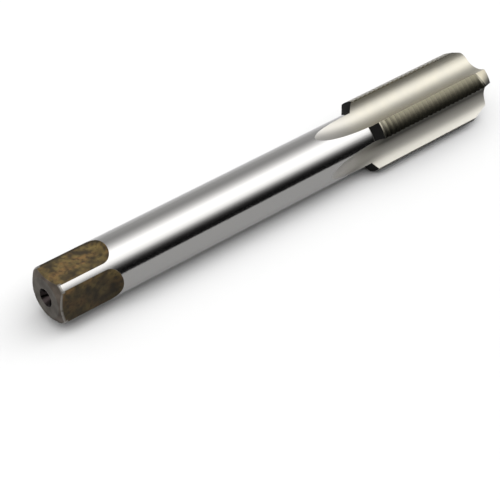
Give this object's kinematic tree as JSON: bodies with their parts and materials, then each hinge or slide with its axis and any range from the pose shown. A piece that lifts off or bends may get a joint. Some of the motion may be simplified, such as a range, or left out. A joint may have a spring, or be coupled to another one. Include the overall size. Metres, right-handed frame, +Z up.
{
  "type": "machine tap",
  "caption": "Straight-fluted machine tap with a long plain shank, a square drive end and a threaded cutting head.",
  "frame": {"origin": "centre of the drive end's face, on the tap's axis", "axes": "+X runs along the axis from the drive end to the cutting tip, +Z is up as the tap lies on two of its lands, and +Y completes the right-handed frame"},
  "size_m": [0.172, 0.0206, 0.0206],
  "materials": {
    "tool_steel": "ground high-speed steel, with brown heat-treatment scale left on the drive end"
  },
  "bodies": {
    "root": {"machine_tap": "tool_steel"}
  },
  "joints": []
}
